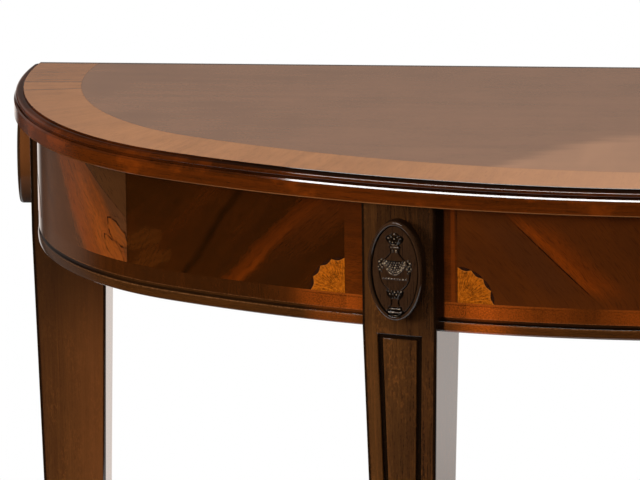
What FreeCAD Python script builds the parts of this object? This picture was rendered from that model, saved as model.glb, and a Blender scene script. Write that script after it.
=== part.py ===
import FreeCAD, Part
import math
import os

# A half-round wall table in veneered mahogany, in millimetres. The straight back faces +Y, the curved front
# faces -Y, and the origin is on the floor under the middle of the top. The plan is a wide front arc and two
# tighter end arcs that share a tangent where they meet, so every line parallel to the edge is arcs too.
# A place along the curve is given by its turn: the degrees its outward normal leans left of straight ahead.

# Plan and heights
top_width = 1220.0
top_depth = 410.0
widest_setback = 61.0
end_radius = 268.0
table_height = 790.0
top_thickness = 23.0
apron_height = 116.0

# Veneers and bands
veneer = 1.5
glue_line = 0.3
crossband_width = 52.0
crossband_end_length = 70.0
crossband_patch_length = 28.0
crossband_long_pieces = 3
seam_shift = 9.0
end_band_width = 17.5
lower_band_height = 14.0
quirk_height = 4.0
bead_height = 9.0
bead_proud = 0.8

# Moulded edge of the top, from its land beside the banding down to the arris
edge_width = 9.0
edge_land = 0.6
step_drop = 1.4
step_width = 1.6
thumb_height = 3.6
nose_inset = 1.5
nose_drop = 1.4
edge_quirk_depth = 2.0
edge_quirk_height = 1.8
edge_band_round = 2.0
edge_arris = 0.8

# Apron rails and their tenons
apron_inset = 20.0
rail_thickness = 26.0
tenon_thickness = 10.0
tenon_length = 20.0
tenon_shoulder = 12.0
rear_rail_thickness = 22.0
rear_rail_setback = 10.0

# Legs, with a routed frame on the outward face
leg_width = 67.5
leg_foot = 38.0
leg_proud = 5.0
rear_leg_proud = 7.0
front_leg_spread = 485.0
rear_leg_gap = 6.0
panel_drop = 4.5
panel_stile = 13.0
panel_foot_gap = 90.0
groove_width = 5.5
groove_depth = 2.2

# Quarter-fan inlays
fan_radius = 32.0
fan_scallops = 4
scallop_depth = 2.2

# Oval urn plaques
plaque_width = 50.0
plaque_height = 89.0
front_plaque_drop = 60.0
rear_plaque_drop = 53.5
plaque_base = 8.0
rim_width = 4.0
rim_thickness = 13.0
rim_round = 1.6
urn_relief = 5.0

# Cuts run past what they cut by this much
overrun = 4.0

# Worked out from the sizes above
half_width = top_width / 2
back_y = top_depth / 2
widest_y = back_y - widest_setback
bow_depth = top_depth - widest_setback
end_centre_x = half_width - end_radius
bow_rise = bow_depth - end_radius
front_lift = (end_centre_x ** 2 - bow_rise ** 2) / (2 * bow_rise)
front_radius = bow_depth + front_lift
front_centre_y = widest_y + front_lift
join_turn = math.degrees(math.atan2(end_centre_x, front_lift))
quarter_share = 1 - math.sqrt(1 / 2)

underside = table_height - top_thickness
apron_low = underside - apron_height
bead_top = apron_low + bead_height
lower_band_low = bead_top + quirk_height
field_low = lower_band_low + lower_band_height
facing_back = apron_inset + veneer
rail_face = facing_back + glue_line
rail_back = rail_face + rail_thickness

up = FreeCAD.Vector(0, 0, 1)


def stretches(turn_from, turn_to):
    """Arcs of the plan between two turns, left to right: start, end, centre and radius of each."""
    joins = [turn for turn in (join_turn, -join_turn) if turn_to < turn < turn_from]
    stops = [turn_from] + joins + [turn_to]
    arcs = []
    for start, end in zip(stops, stops[1:]):
        middle = (start + end) / 2
        if abs(middle) < join_turn:
            arcs.append((start, end, FreeCAD.Vector(0, front_centre_y, 0), front_radius))
        else:
            side_x = -math.copysign(end_centre_x, middle)
            arcs.append((start, end, FreeCAD.Vector(side_x, widest_y, 0), end_radius))
    return arcs


def on_arc(centre, radius, turn, z):
    """Point of an arc where its outward normal has the given turn."""
    angle = math.radians(turn)
    return centre + FreeCAD.Vector(-radius * math.sin(angle), -radius * math.cos(angle), z)


def plan_point(turn, inset, z):
    """Point on the line that runs `inset` inside the edge of the top."""
    _, _, centre, radius = stretches(turn, turn)[0]
    return on_arc(centre, radius - inset, turn, z)


def curve(turn_from, turn_to, inset, z):
    """Edges of the line that runs `inset` inside the edge of the top."""
    edges = []
    for start, end, centre, radius in stretches(turn_from, turn_to):
        ends = [on_arc(centre, radius - inset, turn, z) for turn in (start, (start + end) / 2, end)]
        edges.append(Part.Arc(*ends).toShape())
    return edges


def turn_along(turn_from, turn_to, inset, share):
    """Turn at a share of the length between two turns."""
    arcs = [(start, radius - inset, math.radians(start - end) * (radius - inset))
            for start, end, _, radius in stretches(turn_from, turn_to)]
    left = share * sum(length for _, _, length in arcs)
    for start, radius, length in arcs:
        if left <= length:
            return start - math.degrees(left / radius)
        left -= length
    return turn_to


def back_turn(inset):
    """Turn at which the line `inset` inside the edge reaches the straight back."""
    return 90 + math.degrees(math.asin(widest_setback / (end_radius - inset)))


def straight(start, end):
    return Part.LineSegment(start, end).toShape()


def face_of(edges):
    return Part.Face(Part.Wire(Part.__sortEdges__(edges)))


def board(inset, low, high):
    """Half-round board whose curved edge is `inset` inside the edge of the top."""
    turn = back_turn(inset)
    edges = curve(turn, -turn, inset, low)
    edges.append(straight(plan_point(-turn, inset, low), plan_point(turn, inset, low)))
    return face_of(edges).extrude(up * (high - low))


def band(outer, inner, turn_from, turn_to, low, high):
    """Upright curved band between two insets and two turns."""
    edges = curve(turn_from, turn_to, outer, low) + curve(turn_from, turn_to, inner, low)
    for turn in (turn_from, turn_to):
        edges.append(straight(plan_point(turn, outer, low), plan_point(turn, inner, low)))
    return face_of(edges).extrude(up * (high - low))


def moulding(steps, turn_from, turn_to):
    """Profile carried round the plan. A step is a point (inset, z), or two: an arc through the first."""
    runs = []
    for start, end, centre, radius in stretches(turn_from, turn_to):
        edges = []
        here = on_arc(centre, radius - steps[0][0][0], start, steps[0][0][1])
        for step in steps[1:] + steps[:1]:
            points = [on_arc(centre, radius - inset, start, z) for inset, z in step]
            if len(points) == 1:
                edges.append(straight(here, points[0]))
            else:
                edges.append(Part.Arc(here, *points).toShape())
            here = points[-1]
        runs.append(Part.Face(Part.Wire(edges)).revolve(centre, up, start - end))
    return runs[0].fuse(runs[1:]).removeSplitter() if len(runs) > 1 else runs[0]


# The top: core, field veneer, crossbanding and the moulded edge. The crossbanding is three long pieces round
# the front and, at each end, a short patch and the piece that meets the wall.

nodes = {}
core_top = table_height - veneer
crossband_inner = edge_width + crossband_width
nodes["top_core"] = board(edge_width, underside, core_top)
nodes["top_field_veneer"] = board(crossband_inner, core_top, table_height)

ring = board(edge_width, core_top, table_height).cut(board(crossband_inner, core_top, table_height))
far_turn = back_turn(crossband_inner) + math.degrees(overrun / end_radius)
edge_turn = back_turn(edge_width)
banding_length = sum(edge.Length for edge in curve(edge_turn, -edge_turn, edge_width, core_top))
end_lengths = [crossband_end_length, crossband_patch_length]
long_length = (banding_length - 2 * sum(end_lengths)) / crossband_long_pieces
piece_lengths = end_lengths + [long_length] * crossband_long_pieces + end_lengths[::-1]
joint_turns = [
    turn_along(edge_turn, -edge_turn, edge_width, sum(piece_lengths[:count]) / banding_length)
    for count in range(1, len(piece_lengths))]
piece_turns = [far_turn] + joint_turns + [-far_turn]
for index, (first, last) in enumerate(zip(piece_turns, piece_turns[1:])):
    wedge = band(
        edge_width - overrun, crossband_inner + overrun, first, last,
        core_top - overrun, table_height + overrun)
    nodes[f"top_crossband_{index + 1}"] = ring.common(wedge)

step_z = table_height - step_drop
nose_z = step_z - thumb_height
quirk_z = nose_z - nose_drop
edge_band_z = quirk_z - edge_quirk_height
thumb_width = edge_width - edge_land - step_width - nose_inset
quirk_inset = nose_inset + edge_quirk_depth
edge_profile = [
    [(edge_width, table_height)],
    [(edge_width - edge_land, table_height)],
    [(edge_width - edge_land, step_z)],
    [(nose_inset + thumb_width, step_z)],
    [(nose_inset + thumb_width * quarter_share, step_z - thumb_height * quarter_share), (nose_inset, nose_z)],
    [(nose_inset + edge_quirk_depth * quarter_share, quirk_z + nose_drop * quarter_share),
     (quirk_inset, quirk_z)],
    [(quirk_inset, edge_band_z)],
    [(edge_band_round, edge_band_z)],
    [(edge_band_round * quarter_share, edge_band_z - edge_band_round * quarter_share),
     (0, edge_band_z - edge_band_round)],
    [(0, underside + edge_arris)],
    [(edge_arris, underside)],
    [(edge_width, underside)],
]
behind = Part.makeBox(
    top_width, top_depth, table_height + overrun, FreeCAD.Vector(-half_width, back_y, 0))
nodes["top_edge_moulding"] = moulding(edge_profile, far_turn, -far_turn).cut(behind)


# The legs stand square to the curve in front and square to the room at the back. Each is made with its
# outward face on y = 0, then put at its place: the middle of that face, and its turn.

front_turn = math.degrees(math.asin(front_leg_spread / 2 / (front_radius - apron_inset)))
rear_leg_x = half_width - apron_inset + rear_leg_proud
rear_leg_y = back_y - rear_leg_gap - leg_width / 2
rear_turn = 90 + math.degrees(math.asin((rear_leg_y - widest_y) / (end_radius - apron_inset)))
leg_places = {
    "rear_left": (FreeCAD.Vector(-rear_leg_x, rear_leg_y, 0), 90),
    "front_left": (plan_point(front_turn, apron_inset - leg_proud, 0), front_turn),
    "front_right": (plan_point(-front_turn, apron_inset - leg_proud, 0), -front_turn),
    "rear_right": (FreeCAD.Vector(rear_leg_x, rear_leg_y, 0), -90),
}


def placed(shape, leg):
    """Copy of a shape moved from y = 0 to a leg's outward face."""
    spot, turn = leg_places[leg]
    copy = shape.copy()
    copy.Placement = FreeCAD.Placement(spot, FreeCAD.Rotation(up, -turn)).multiply(copy.Placement)
    return copy


def leg_zone(leg, width):
    """Upright block through a leg and the aprons beside it, `width` across the leg's face."""
    corner = FreeCAD.Vector(-width / 2, -overrun, 0)
    return placed(Part.makeBox(width, leg_width + 2 * overrun, table_height, corner), leg)


def square(width, z):
    """Square outline on the leg's axis."""
    near = (leg_width - width) / 2
    corners = [(-width / 2, near), (width / 2, near), (width / 2, near + width), (-width / 2, near + width)]
    points = [FreeCAD.Vector(x, y, z) for x, y in corners]
    return Part.makePolygon(points + points[:1])


def on_taper(inset, z, side):
    """Point of the tapered outward face, `inset` from the face's left or right edge."""
    half = (leg_foot + (leg_width - leg_foot) * z / apron_low) / 2
    return FreeCAD.Vector(side * (half - inset), leg_width / 2 - half, z)


def panel(inset, low, high):
    """Cutter for a tapering panel on the outward face."""
    corners = [(low, -1), (low, 1), (high, 1), (high, -1)]
    points = [on_taper(inset, z, side) - FreeCAD.Vector(0, overrun, 0) for z, side in corners]
    outline = Part.Face(Part.makePolygon(points + points[:1]))
    return outline.extrude(FreeCAD.Vector(0, overrun + groove_depth, 0))


def leg_blank():
    """Square block beside the aprons, tapered below them on all four sides, with the routed frame."""
    corner = FreeCAD.Vector(-leg_width / 2, 0, apron_low)
    block = Part.makeBox(leg_width, leg_width, apron_height, corner)
    taper = Part.makeLoft([square(leg_foot, 0), square(leg_width, apron_low)], True, True)
    panel_high = apron_low - panel_drop
    frame = panel(panel_stile, panel_foot_gap, panel_high).cut(
        panel(panel_stile + groove_width, panel_foot_gap + groove_width, panel_high - groove_width))
    return block.fuse(taper).removeSplitter().cut(frame)


# The aprons: bent rails tenoned into the legs, faced with bookmatched veneers, bands, fans and a bead

aprons = {
    "left": ("rear_left", "front_left", rear_turn, front_turn),
    "centre": ("front_left", "front_right", front_turn, -front_turn),
    "right": ("front_right", "rear_right", -front_turn, -rear_turn),
}
side_length = math.radians(rear_turn - join_turn) * (end_radius - apron_inset) + math.radians(
    join_turn - front_turn) * (front_radius - apron_inset)
seam_shares = {
    "left": 1 / 2 - seam_shift / side_length, "centre": 1 / 2, "right": 1 / 2 + seam_shift / side_length}
bead_profile = [
    [(facing_back, bead_top)],
    [(apron_inset, bead_top)],
    [(apron_inset - bead_proud, (bead_top + apron_low) / 2), (apron_inset, apron_low)],
    [(facing_back, apron_low)],
]
tenon_face = rail_face + (rail_thickness - tenon_thickness) / 2


def fan_cutter(leg, side):
    """Quarter fan in the corner of an end band and the lower band: scallops round the corner, straight sides."""
    corner_x = side * (leg_width / 2 + end_band_width)
    corner = FreeCAD.Vector(corner_x, -overrun, field_low)

    def rim_point(step, depth):
        angle = math.radians(90 * step / fan_scallops)
        reach = fan_radius - depth
        return corner + FreeCAD.Vector(side * reach * math.cos(angle), 0, reach * math.sin(angle))

    edges = [straight(corner, rim_point(0, 0)), straight(rim_point(fan_scallops, 0), corner)]
    for step in range(fan_scallops):
        points = rim_point(step, 0), rim_point(step + 1 / 2, scallop_depth), rim_point(step + 1, 0)
        edges.append(Part.Arc(*points).toShape())
    return placed(face_of(edges).extrude(FreeCAD.Vector(0, leg_width, 0)), leg)


def apron(name):
    """Rail, veneer halves, end bands, fans, lower band and bead of one apron."""
    left_leg, right_leg, turn_from, turn_to = aprons[name]
    zones = [leg_zone(leg, leg_width) for leg in (left_leg, right_leg)]
    wide_zones = [leg_zone(leg, leg_width + 2 * end_band_width) for leg in (left_leg, right_leg)]
    tenon_ends = [leg_zone(leg, leg_width - 2 * tenon_length) for leg in (left_leg, right_leg)]

    rail = band(rail_face, rail_back, turn_from, turn_to, apron_low, underside).cut(zones)
    tongue = band(tenon_face, tenon_face + tenon_thickness, turn_from, turn_to,
                  apron_low + tenon_shoulder, underside - tenon_shoulder).cut(tenon_ends)
    nodes[f"apron_{name}_rail"] = rail.fuse(tongue).removeSplitter()

    facing = band(apron_inset, facing_back, turn_from, turn_to, field_low, underside)
    fans = [fan_cutter(left_leg, 1), fan_cutter(right_leg, -1)]
    seam = turn_along(turn_from, turn_to, apron_inset, seam_shares[name])
    halves = (turn_from, seam), (seam, turn_to)
    for index, side in enumerate(("left", "right")):
        half = band(apron_inset, facing_back, *halves[index], field_low, underside)
        nodes[f"apron_{name}_veneer_{side}"] = half.cut([wide_zones[index], fans[index]])
        nodes[f"apron_{name}_end_band_{side}"] = facing.common(wide_zones[index]).cut(zones[index])
        nodes[f"apron_{name}_fan_{side}"] = half.cut(wide_zones[index]).common(fans[index])

    lower = band(apron_inset, facing_back, turn_from, turn_to, lower_band_low, field_low)
    nodes[f"apron_{name}_lower_band"] = lower.cut(zones)
    nodes[f"apron_{name}_bead"] = moulding(bead_profile, turn_from, turn_to).cut(zones)


for name in aprons:
    apron(name)


# The rear rail joins the back legs with a tenon at each end

rear_rail_length = 2 * (rear_leg_x - leg_width)
rear_rail_y = back_y - rear_leg_gap - rear_rail_setback - rear_rail_thickness
rail_corner = FreeCAD.Vector(-rear_rail_length / 2, rear_rail_y, apron_low)
rear_rail = Part.makeBox(rear_rail_length, rear_rail_thickness, apron_height, rail_corner)
tongue_length = rear_rail_length + 2 * tenon_length
tongue_corner = FreeCAD.Vector(
    -tongue_length / 2, rear_rail_y + (rear_rail_thickness - tenon_thickness) / 2, apron_low + tenon_shoulder)
tongue = Part.makeBox(tongue_length, tenon_thickness, apron_height - 2 * tenon_shoulder, tongue_corner)
nodes["rear_rail"] = rear_rail.fuse(tongue).removeSplitter()


# Legs with a mortise for each tenon

rails = [nodes[f"apron_{name}_rail"] for name in aprons] + [nodes["rear_rail"]]
blank = leg_blank()
for leg in leg_places:
    nodes[f"leg_{leg}"] = placed(blank, leg).cut(rails)


# Oval plaques with a raised rim and an urn in relief, glued to the legs at frieze height, the rear pair a
# little higher. The urn is a turned shape pressed flat; its outline is given in shares of the plaque's half
# width and half height. A plaque is made round the origin, then hung by its middle's drop from the top.

urn_outline_shares = [
    (0, -0.80), (0.34, -0.80), (0.34, -0.72), (0.22, -0.66), (0.10, -0.56), (0.12, -0.44), (0.36, -0.30),
    (0.54, -0.08), (0.56, 0.06), (0.40, 0.14), (0.20, 0.32), (0.16, 0.42), (0.26, 0.47), (0.26, 0.53),
    (0.34, 0.62), (0.16, 0.74), (0, 0.82),
]


def oval(inset, y):
    """Oval face `inset` inside the plaque's outline."""
    centre = FreeCAD.Vector(0, y, 0)
    tall = centre + FreeCAD.Vector(0, 0, plaque_height / 2 - inset)
    wide = centre + FreeCAD.Vector(plaque_width / 2 - inset, 0, 0)
    return Part.Face(Part.Wire(Part.Ellipse(tall, wide, centre).toShape()))


def plaque_blank():
    """Oval plate with its rim and the front half of the urn."""
    plate = oval(0, 0).extrude(FreeCAD.Vector(0, -plaque_base, 0))
    ring = oval(0, 0).cut(oval(rim_width, 0)).extrude(FreeCAD.Vector(0, -rim_thickness, 0))
    front_edges = [edge for edge in ring.Edges if edge.BoundBox.YMax < -plaque_base]
    rim = ring.makeFillet(rim_round, front_edges)
    points = [FreeCAD.Vector(wide * plaque_width / 2, 0, tall * plaque_height / 2)
              for wide, tall in urn_outline_shares]
    turned = Part.Face(Part.makePolygon(points + points[:1])).revolve(FreeCAD.Vector(0, 0, 0), up, -180)
    flatten = FreeCAD.Matrix()
    widest_share = max(wide for wide, _ in urn_outline_shares)
    flatten.scale(1, urn_relief / (widest_share * plaque_width / 2), 1)
    relief = turned.transformGeometry(flatten)
    relief.translate(FreeCAD.Vector(0, -plaque_base, 0))
    return plate.fuse([rim, relief]).removeSplitter()


plaque = plaque_blank()
for leg in leg_places:
    drop = rear_plaque_drop if leg.startswith("rear") else front_plaque_drop
    hung = placed(plaque, leg)
    hung.translate(up * (underside - drop))
    nodes[f"plaque_{leg}"] = hung


os.makedirs("parts", exist_ok=True)
for name, shape in nodes.items():
    print(name, len(shape.Solids), shape.isValid())
    shape.Solids[0].exportStep(f"parts/{name}.step")
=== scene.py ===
import math

import bmesh
import bpy
import numpy as np
from mathutils import Matrix, Vector


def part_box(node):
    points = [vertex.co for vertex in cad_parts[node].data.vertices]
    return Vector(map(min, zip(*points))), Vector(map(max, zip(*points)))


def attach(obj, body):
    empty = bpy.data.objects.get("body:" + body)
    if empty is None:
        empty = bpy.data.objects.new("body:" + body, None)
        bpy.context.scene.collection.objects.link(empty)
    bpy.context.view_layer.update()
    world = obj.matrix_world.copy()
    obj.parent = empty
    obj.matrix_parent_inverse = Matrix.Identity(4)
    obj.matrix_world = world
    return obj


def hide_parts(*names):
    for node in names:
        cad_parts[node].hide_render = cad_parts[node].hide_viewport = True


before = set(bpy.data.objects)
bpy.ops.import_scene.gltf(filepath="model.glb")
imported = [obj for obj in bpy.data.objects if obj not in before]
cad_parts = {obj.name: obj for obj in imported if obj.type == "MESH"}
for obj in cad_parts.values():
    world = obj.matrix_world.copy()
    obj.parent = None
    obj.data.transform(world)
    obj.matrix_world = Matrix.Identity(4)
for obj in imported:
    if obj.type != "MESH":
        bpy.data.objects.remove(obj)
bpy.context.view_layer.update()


# Legs: four square posts of solid mahogany, tapered on all sides below the frieze, with a routed line round
# the outward face. The front pair stands square to the curve of the table, the rear pair square to the
# wall, and every arris is eased before the lacquer goes on.

edge_low, edge_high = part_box("top_edge_moulding")
half_width = edge_high.x
back_y = edge_high.y
table_height = edge_high.z
underside = edge_low.z
apron_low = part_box("rear_rail")[0].z
rear_leg_low, rear_leg_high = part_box("leg_rear_left")
leg_width = rear_leg_high.x - rear_leg_low.x

widest_setback = 0.061
end_radius = 0.268
apron_inset = 0.020
leg_proud = 0.005
front_leg_spread = 0.485
leg_foot = 0.038
leg_arris = 0.0012
face_margin = 0.0035
foot_arris = 0.0015
panel_drop = 0.0045
panel_stile = 0.013
panel_foot_gap = 0.090
groove_width = 0.0055
groove_depth = 0.0022
groove_slope = 0.0012
panel_step = 0.030
panel_rows = 9
shoulder = 0.0005
block_start = 0.020
block_rows = 4

widest_y = back_y - widest_setback
bow_depth = widest_y - edge_low.y
end_centre_x = half_width - end_radius
bow_rise = bow_depth - end_radius
front_lift = (end_centre_x ** 2 - bow_rise ** 2) / (2 * bow_rise)
front_radius = bow_depth + front_lift
front_centre_y = widest_y + front_lift
join_turn = math.atan2(end_centre_x, front_lift)
front_turn = math.asin(front_leg_spread / 2 / (front_radius - apron_inset))
rear_leg_y = (rear_leg_low.y + rear_leg_high.y) / 2
rear_turn = math.pi / 2 + math.asin((rear_leg_y - widest_y) / (end_radius - apron_inset))


def plan(turn, inset):
    """Places on the line `inset` inside the edge of the top: the centre of the front arc or of an end arc,
    plus that arc's radius less the inset, along the normal that leans `turn` left of straight ahead."""
    turn = np.asarray(turn, float)
    front = np.abs(turn) < join_turn
    centre_x = np.where(front, 0.0, -np.sign(turn) * end_centre_x)
    centre_y = np.where(front, front_centre_y, widest_y)
    reach = np.where(front, front_radius, end_radius) - inset
    return centre_x - reach * np.sin(turn), centre_y - reach * np.cos(turn)


leg_places = {
    "rear_left": (rear_leg_low.x, rear_leg_y, math.pi / 2),
    "front_left": (*plan(front_turn, apron_inset - leg_proud), front_turn),
    "front_right": (*plan(-front_turn, apron_inset - leg_proud), -front_turn),
    "rear_right": (-rear_leg_low.x, rear_leg_y, -math.pi / 2),
}


def at_leg(grid, leg):
    """Grid turned and moved from y = 0 to a leg's outward face: a turn about the upright, then a shift."""
    spot_x, spot_y, turn = leg_places[leg]
    across, inward, up = np.moveaxis(grid, -1, 0)
    x = spot_x + across * math.cos(turn) + inward * math.sin(turn)
    y = spot_y - across * math.sin(turn) + inward * math.cos(turn)
    return np.stack([x, y, up], -1)


def paired(rows, columns):
    """Grid of pairs: every row's value beside every column's."""
    return np.stack(np.broadcast_arrays(rows[:, None], columns[None]), -1)


def leg_grid():
    """Rings up the leg. A ring point is a share of the half width plus an offset, in x and in y, so the
    ring keeps its arris and its routed line while the half width grows with height. The line is sunk where
    it is inside the frame's outer edge and outside its inner edge, by column and by row alike. The last
    result says which points lie in the line, where painted shade darkens it."""
    r = leg_arris
    step = np.array([r, face_margin, panel_stile, panel_stile + groove_slope,
                     panel_stile + groove_width - groove_slope, panel_stile + groove_width])
    depth_class = np.array([0, 0, 0, 1, 1, 2])
    stile = np.ones(len(step))
    face_points = 2 * len(step) + 1
    arc = np.radians([-67.5, -45.0, -22.5])
    quarter_cos, quarter_sin = r * np.cos(arc), r * np.sin(arc)
    bend, side = np.ones(3), np.ones(5)
    flat = np.array([-1.0, -1.0, 0.0, 1.0, 1.0])
    ease = np.array([r, face_margin, 0.0, -face_margin, -r])
    share_x = np.concatenate([-stile, [0], stile, bend, side, bend, -flat, -bend, -side, -bend])
    shift_x = np.concatenate([step, [0], -step[::-1], quarter_cos - r, 0 * side, -quarter_sin - r,
                              -ease, r - quarter_cos, 0 * side, r + quarter_sin])
    share_y = np.concatenate([-np.ones(face_points), -bend, flat, bend, side, bend, -flat, -bend])
    shift_y = np.concatenate([np.zeros(face_points), r + quarter_sin, ease, quarter_cos - r,
                              0 * side, -r - quarter_sin, -ease, r - quarter_cos])
    off_face = np.zeros(len(share_x) - face_points, int)
    column = np.concatenate([depth_class, [2], depth_class[::-1], off_face])
    on_face = np.arange(len(column)) < face_points

    low, high = panel_foot_gap, apron_low - panel_drop
    sill = np.array([0, groove_depth, groove_width - groove_slope, groove_width])
    head = np.array([groove_width, groove_width - groove_depth, groove_slope, 0])
    z = np.concatenate([
        [0, foot_arris, foot_arris * 2],
        low + sill,
        np.linspace(low + panel_step, high - panel_step, panel_rows),
        high - head,
        [apron_low - shoulder, apron_low, apron_low + shoulder],
        np.linspace(apron_low + block_start, underside, block_rows)])
    row = np.concatenate([
        np.zeros(3, int), depth_class[2:], np.full(panel_rows, 2), depth_class[:1:-1],
        np.zeros(3 + block_rows, int)])
    half = (leg_foot + (leg_width - leg_foot) * np.minimum(z / apron_low, 1)) / 2
    half[0] -= foot_arris * 0.6
    sunk = (np.minimum(row[:, None], column[None]) == 1) & on_face
    x = half[:, None] * share_x + shift_x
    y = half[:, None] * share_y + shift_y + np.where(sunk, groove_depth, 0) + leg_width / 2
    ring = np.hypot(np.diff(x[-1], append=x[-1, :1]), np.diff(y[-1], append=y[-1, :1]))
    round_leg = np.concatenate([[0], np.cumsum(ring)])
    return np.stack(np.broadcast_arrays(x, y, z[:, None]), -1), paired(z, round_leg), sunk


def shell(name, grid, grain, sharp=32):
    """Mesh through a grid of points: a quad between neighbours, each row closed into a ring, and the first
    and last ring filled. `grain` has one column more than the grid and gives each point's place on the
    wood, in metres along and across it."""
    rows, columns = grid.shape[:2]
    here = np.arange(rows * columns).reshape(rows, columns)
    beside = np.roll(here, -1, axis=1)
    quads = np.stack([here[:-1], beside[:-1], beside[1:], here[1:]], -1).reshape(-1, 4)
    spots = np.stack([grain[:-1, :-1], grain[:-1, 1:], grain[1:, 1:], grain[1:, :-1]], 2).reshape(-1, 2)
    ends = np.concatenate([grain[0, -2::-1], grain[-1, :-1]])
    lids = [here[0, ::-1].tolist(), here[-1].tolist()]
    mesh = bpy.data.meshes.new(name)
    mesh.from_pydata(grid.reshape(-1, 3), [], quads.tolist() + lids)
    layer = mesh.uv_layers.new(name="grain")
    layer.data.foreach_set("uv", np.concatenate([spots, ends]).astype(np.float32).ravel())
    made = bmesh.new()
    made.from_mesh(mesh)
    bmesh.ops.recalc_face_normals(made, faces=made.faces)
    made.to_mesh(mesh)
    made.free()
    mesh.polygons.foreach_set("use_smooth", np.ones(len(mesh.polygons), bool))
    mesh.set_sharp_from_angle(angle=math.radians(sharp))
    return mesh


def mark(mesh, name, values):
    """Keeps one value for each point of a mesh, for its finish to read."""
    kept = mesh.attributes.new(name, "FLOAT", "POINT")
    kept.data.foreach_set("value", values.astype(np.float32).ravel())


def fit(name, mesh, finish, slot, *nodes):
    """Puts a mesh on the table in the place of the solids it stands for."""
    mesh.materials.append(finish)
    made = bpy.data.objects.new(name, mesh)
    bpy.context.scene.collection.objects.link(made)
    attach(made, "root")
    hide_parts(*nodes)
    return made


class Wire:
    """A socket in a finish's node tree. Arithmetic on it adds Math nodes, node() adds any other kind."""

    def __init__(self, tree, socket=None):
        self.tree = tree
        self.socket = socket

    def node(self, kind, settings=None, sockets=None, output=0):
        """Any node from its type, its settings, its sockets' values or links, and the output to use."""
        made = self.tree.nodes.new("ShaderNode" + kind)
        for setting, value in (settings or {}).items():
            setattr(made, setting, value)
        for key, value in (sockets or {}).items():
            if isinstance(value, Wire):
                self.tree.links.new(value.socket, made.inputs[key])
            else:
                made.inputs[key].default_value = value
        return Wire(self.tree, made.outputs[output] if len(made.outputs) else None)

    def other(self, output):
        """Another output of the same node."""
        return Wire(self.tree, self.socket.node.outputs[output])

    def maths(self, operation, *values):
        """One Math node: an operation on numbers or wires."""
        return self.node("Math", {"operation": operation}, dict(enumerate(values)))

    def __add__(self, other):
        return self.maths("ADD", self, other)

    def __sub__(self, other):
        return self.maths("SUBTRACT", self, other)

    def __rsub__(self, other):
        return self.maths("SUBTRACT", other, self)

    def __mul__(self, other):
        return self.maths("MULTIPLY", self, other)

    def __truediv__(self, other):
        return self.maths("DIVIDE", self, other)

    def __abs__(self):
        return self.maths("ABSOLUTE", self)

    def __pow__(self, power):
        return self.maths("POWER", self, power)

    __radd__ = __add__
    __rmul__ = __mul__

    def rise(self, low, high):
        """0 on the low side, 1 on the high side, and a smooth rise between."""
        return self.node("MapRange", {"interpolation_type": "SMOOTHSTEP"},
                         {"Value": self, "From Min": low, "From Max": high})

    def blend(self, first, second):
        """Mix of two colours, with this as the second one's share."""
        return self.node("Mix", {"data_type": "RGBA"}, {0: self, 6: first, 7: second}, 2)

    def noise(self, x, y, z, detail=3.0, rough=0.5):
        """Cloudy values from 0 to 1 at a place given by three values."""
        place = self.node("CombineXYZ", {}, {0: x, 1: y, 2: z})
        sockets = {"Vector": place, "Scale": 1.0, "Detail": detail, "Roughness": rough}
        return self.node("TexNoise", {}, sockets)


def new_finish(name):
    """Empty material and a wire to start its nodes from."""
    material = bpy.data.materials.new(name)
    material.use_nodes = True
    material.node_tree.nodes.clear()
    return material, Wire(material.node_tree)


def shade(red, green, blue):
    """Colour written as it looks on a screen, 0 to 255, turned into light by the screen's own curve."""
    level = np.array([red, green, blue]) / 255
    light = np.where(level <= 0.04045, level / 12.92, ((level + 0.055) / 1.055) ** 2.4)
    return (*light.tolist(), 1.0)


def on_grain(wire):
    """Metres along and across the wood, from the piece's own map."""
    place = wire.node("SeparateXYZ", {}, {0: wire.node("UVMap", {"uv_map": "grain"})})
    return place, place.other(1)


def in_space(wire):
    """Metres to the right, to the back and up, on the table."""
    place = wire.node("SeparateXYZ", {}, {0: wire.node("TexCoord", {}, {}, "Object")})
    return place, place.other(1), place.other(2)


def marked(wire, name):
    """The value that each point of the mesh keeps under a name."""
    return wire.node("Attribute", {"attribute_name": name}, {}, "Fac")


def mahogany(wire, along, across, seed, deep, dark, light, streak_width):
    """Straight-grained mahogany: long soft streaks along the grain, clouds and fine flecks between a dark
    and a light tone, and short open pores in a deeper one. Gives the colour and the share of pores."""
    drift = wire.noise(along * 1.5, across * 12, seed, 1)
    streak = wire.noise(along * 2.2, (across + drift * 0.02) * (1 / streak_width), seed + 3.1, 5, 0.62)
    pore = wire.noise(along * 70, across * 1500, seed + 7.7, 1).rise(0.44, 0.33)
    cloud = wire.noise(along * 9, across * 26, seed + 11.3, 3).rise(0.32, 0.7)
    fleck = wire.noise(along * 380, across * 700, seed + 15.9, 2).rise(0.3, 0.7)
    tone = streak.rise(0.3, 0.7) * 0.46 + cloud * 0.34 + fleck * 0.2
    return (pore * 0.5).blend(tone.blend(dark, light), deep), pore


def lacquer(wire, colour, roughness, height, depth=0.0002, coat=0.05, polish=1.0):
    """Polished wood: the stained ground with its pores just telling through, under a clear glossy coat."""
    bump = wire.node("Bump", {}, {"Strength": 0.25, "Distance": depth, "Height": height})
    shader = wire.node("BsdfPrincipled", {}, {
        "Base Color": colour, "Roughness": roughness, "Normal": bump, "Specular IOR Level": 0.0,
        "Coat Weight": polish, "Coat Roughness": coat, "Coat IOR": 1.5})
    wire.node("OutputMaterial", {}, {"Surface": shader})


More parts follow.
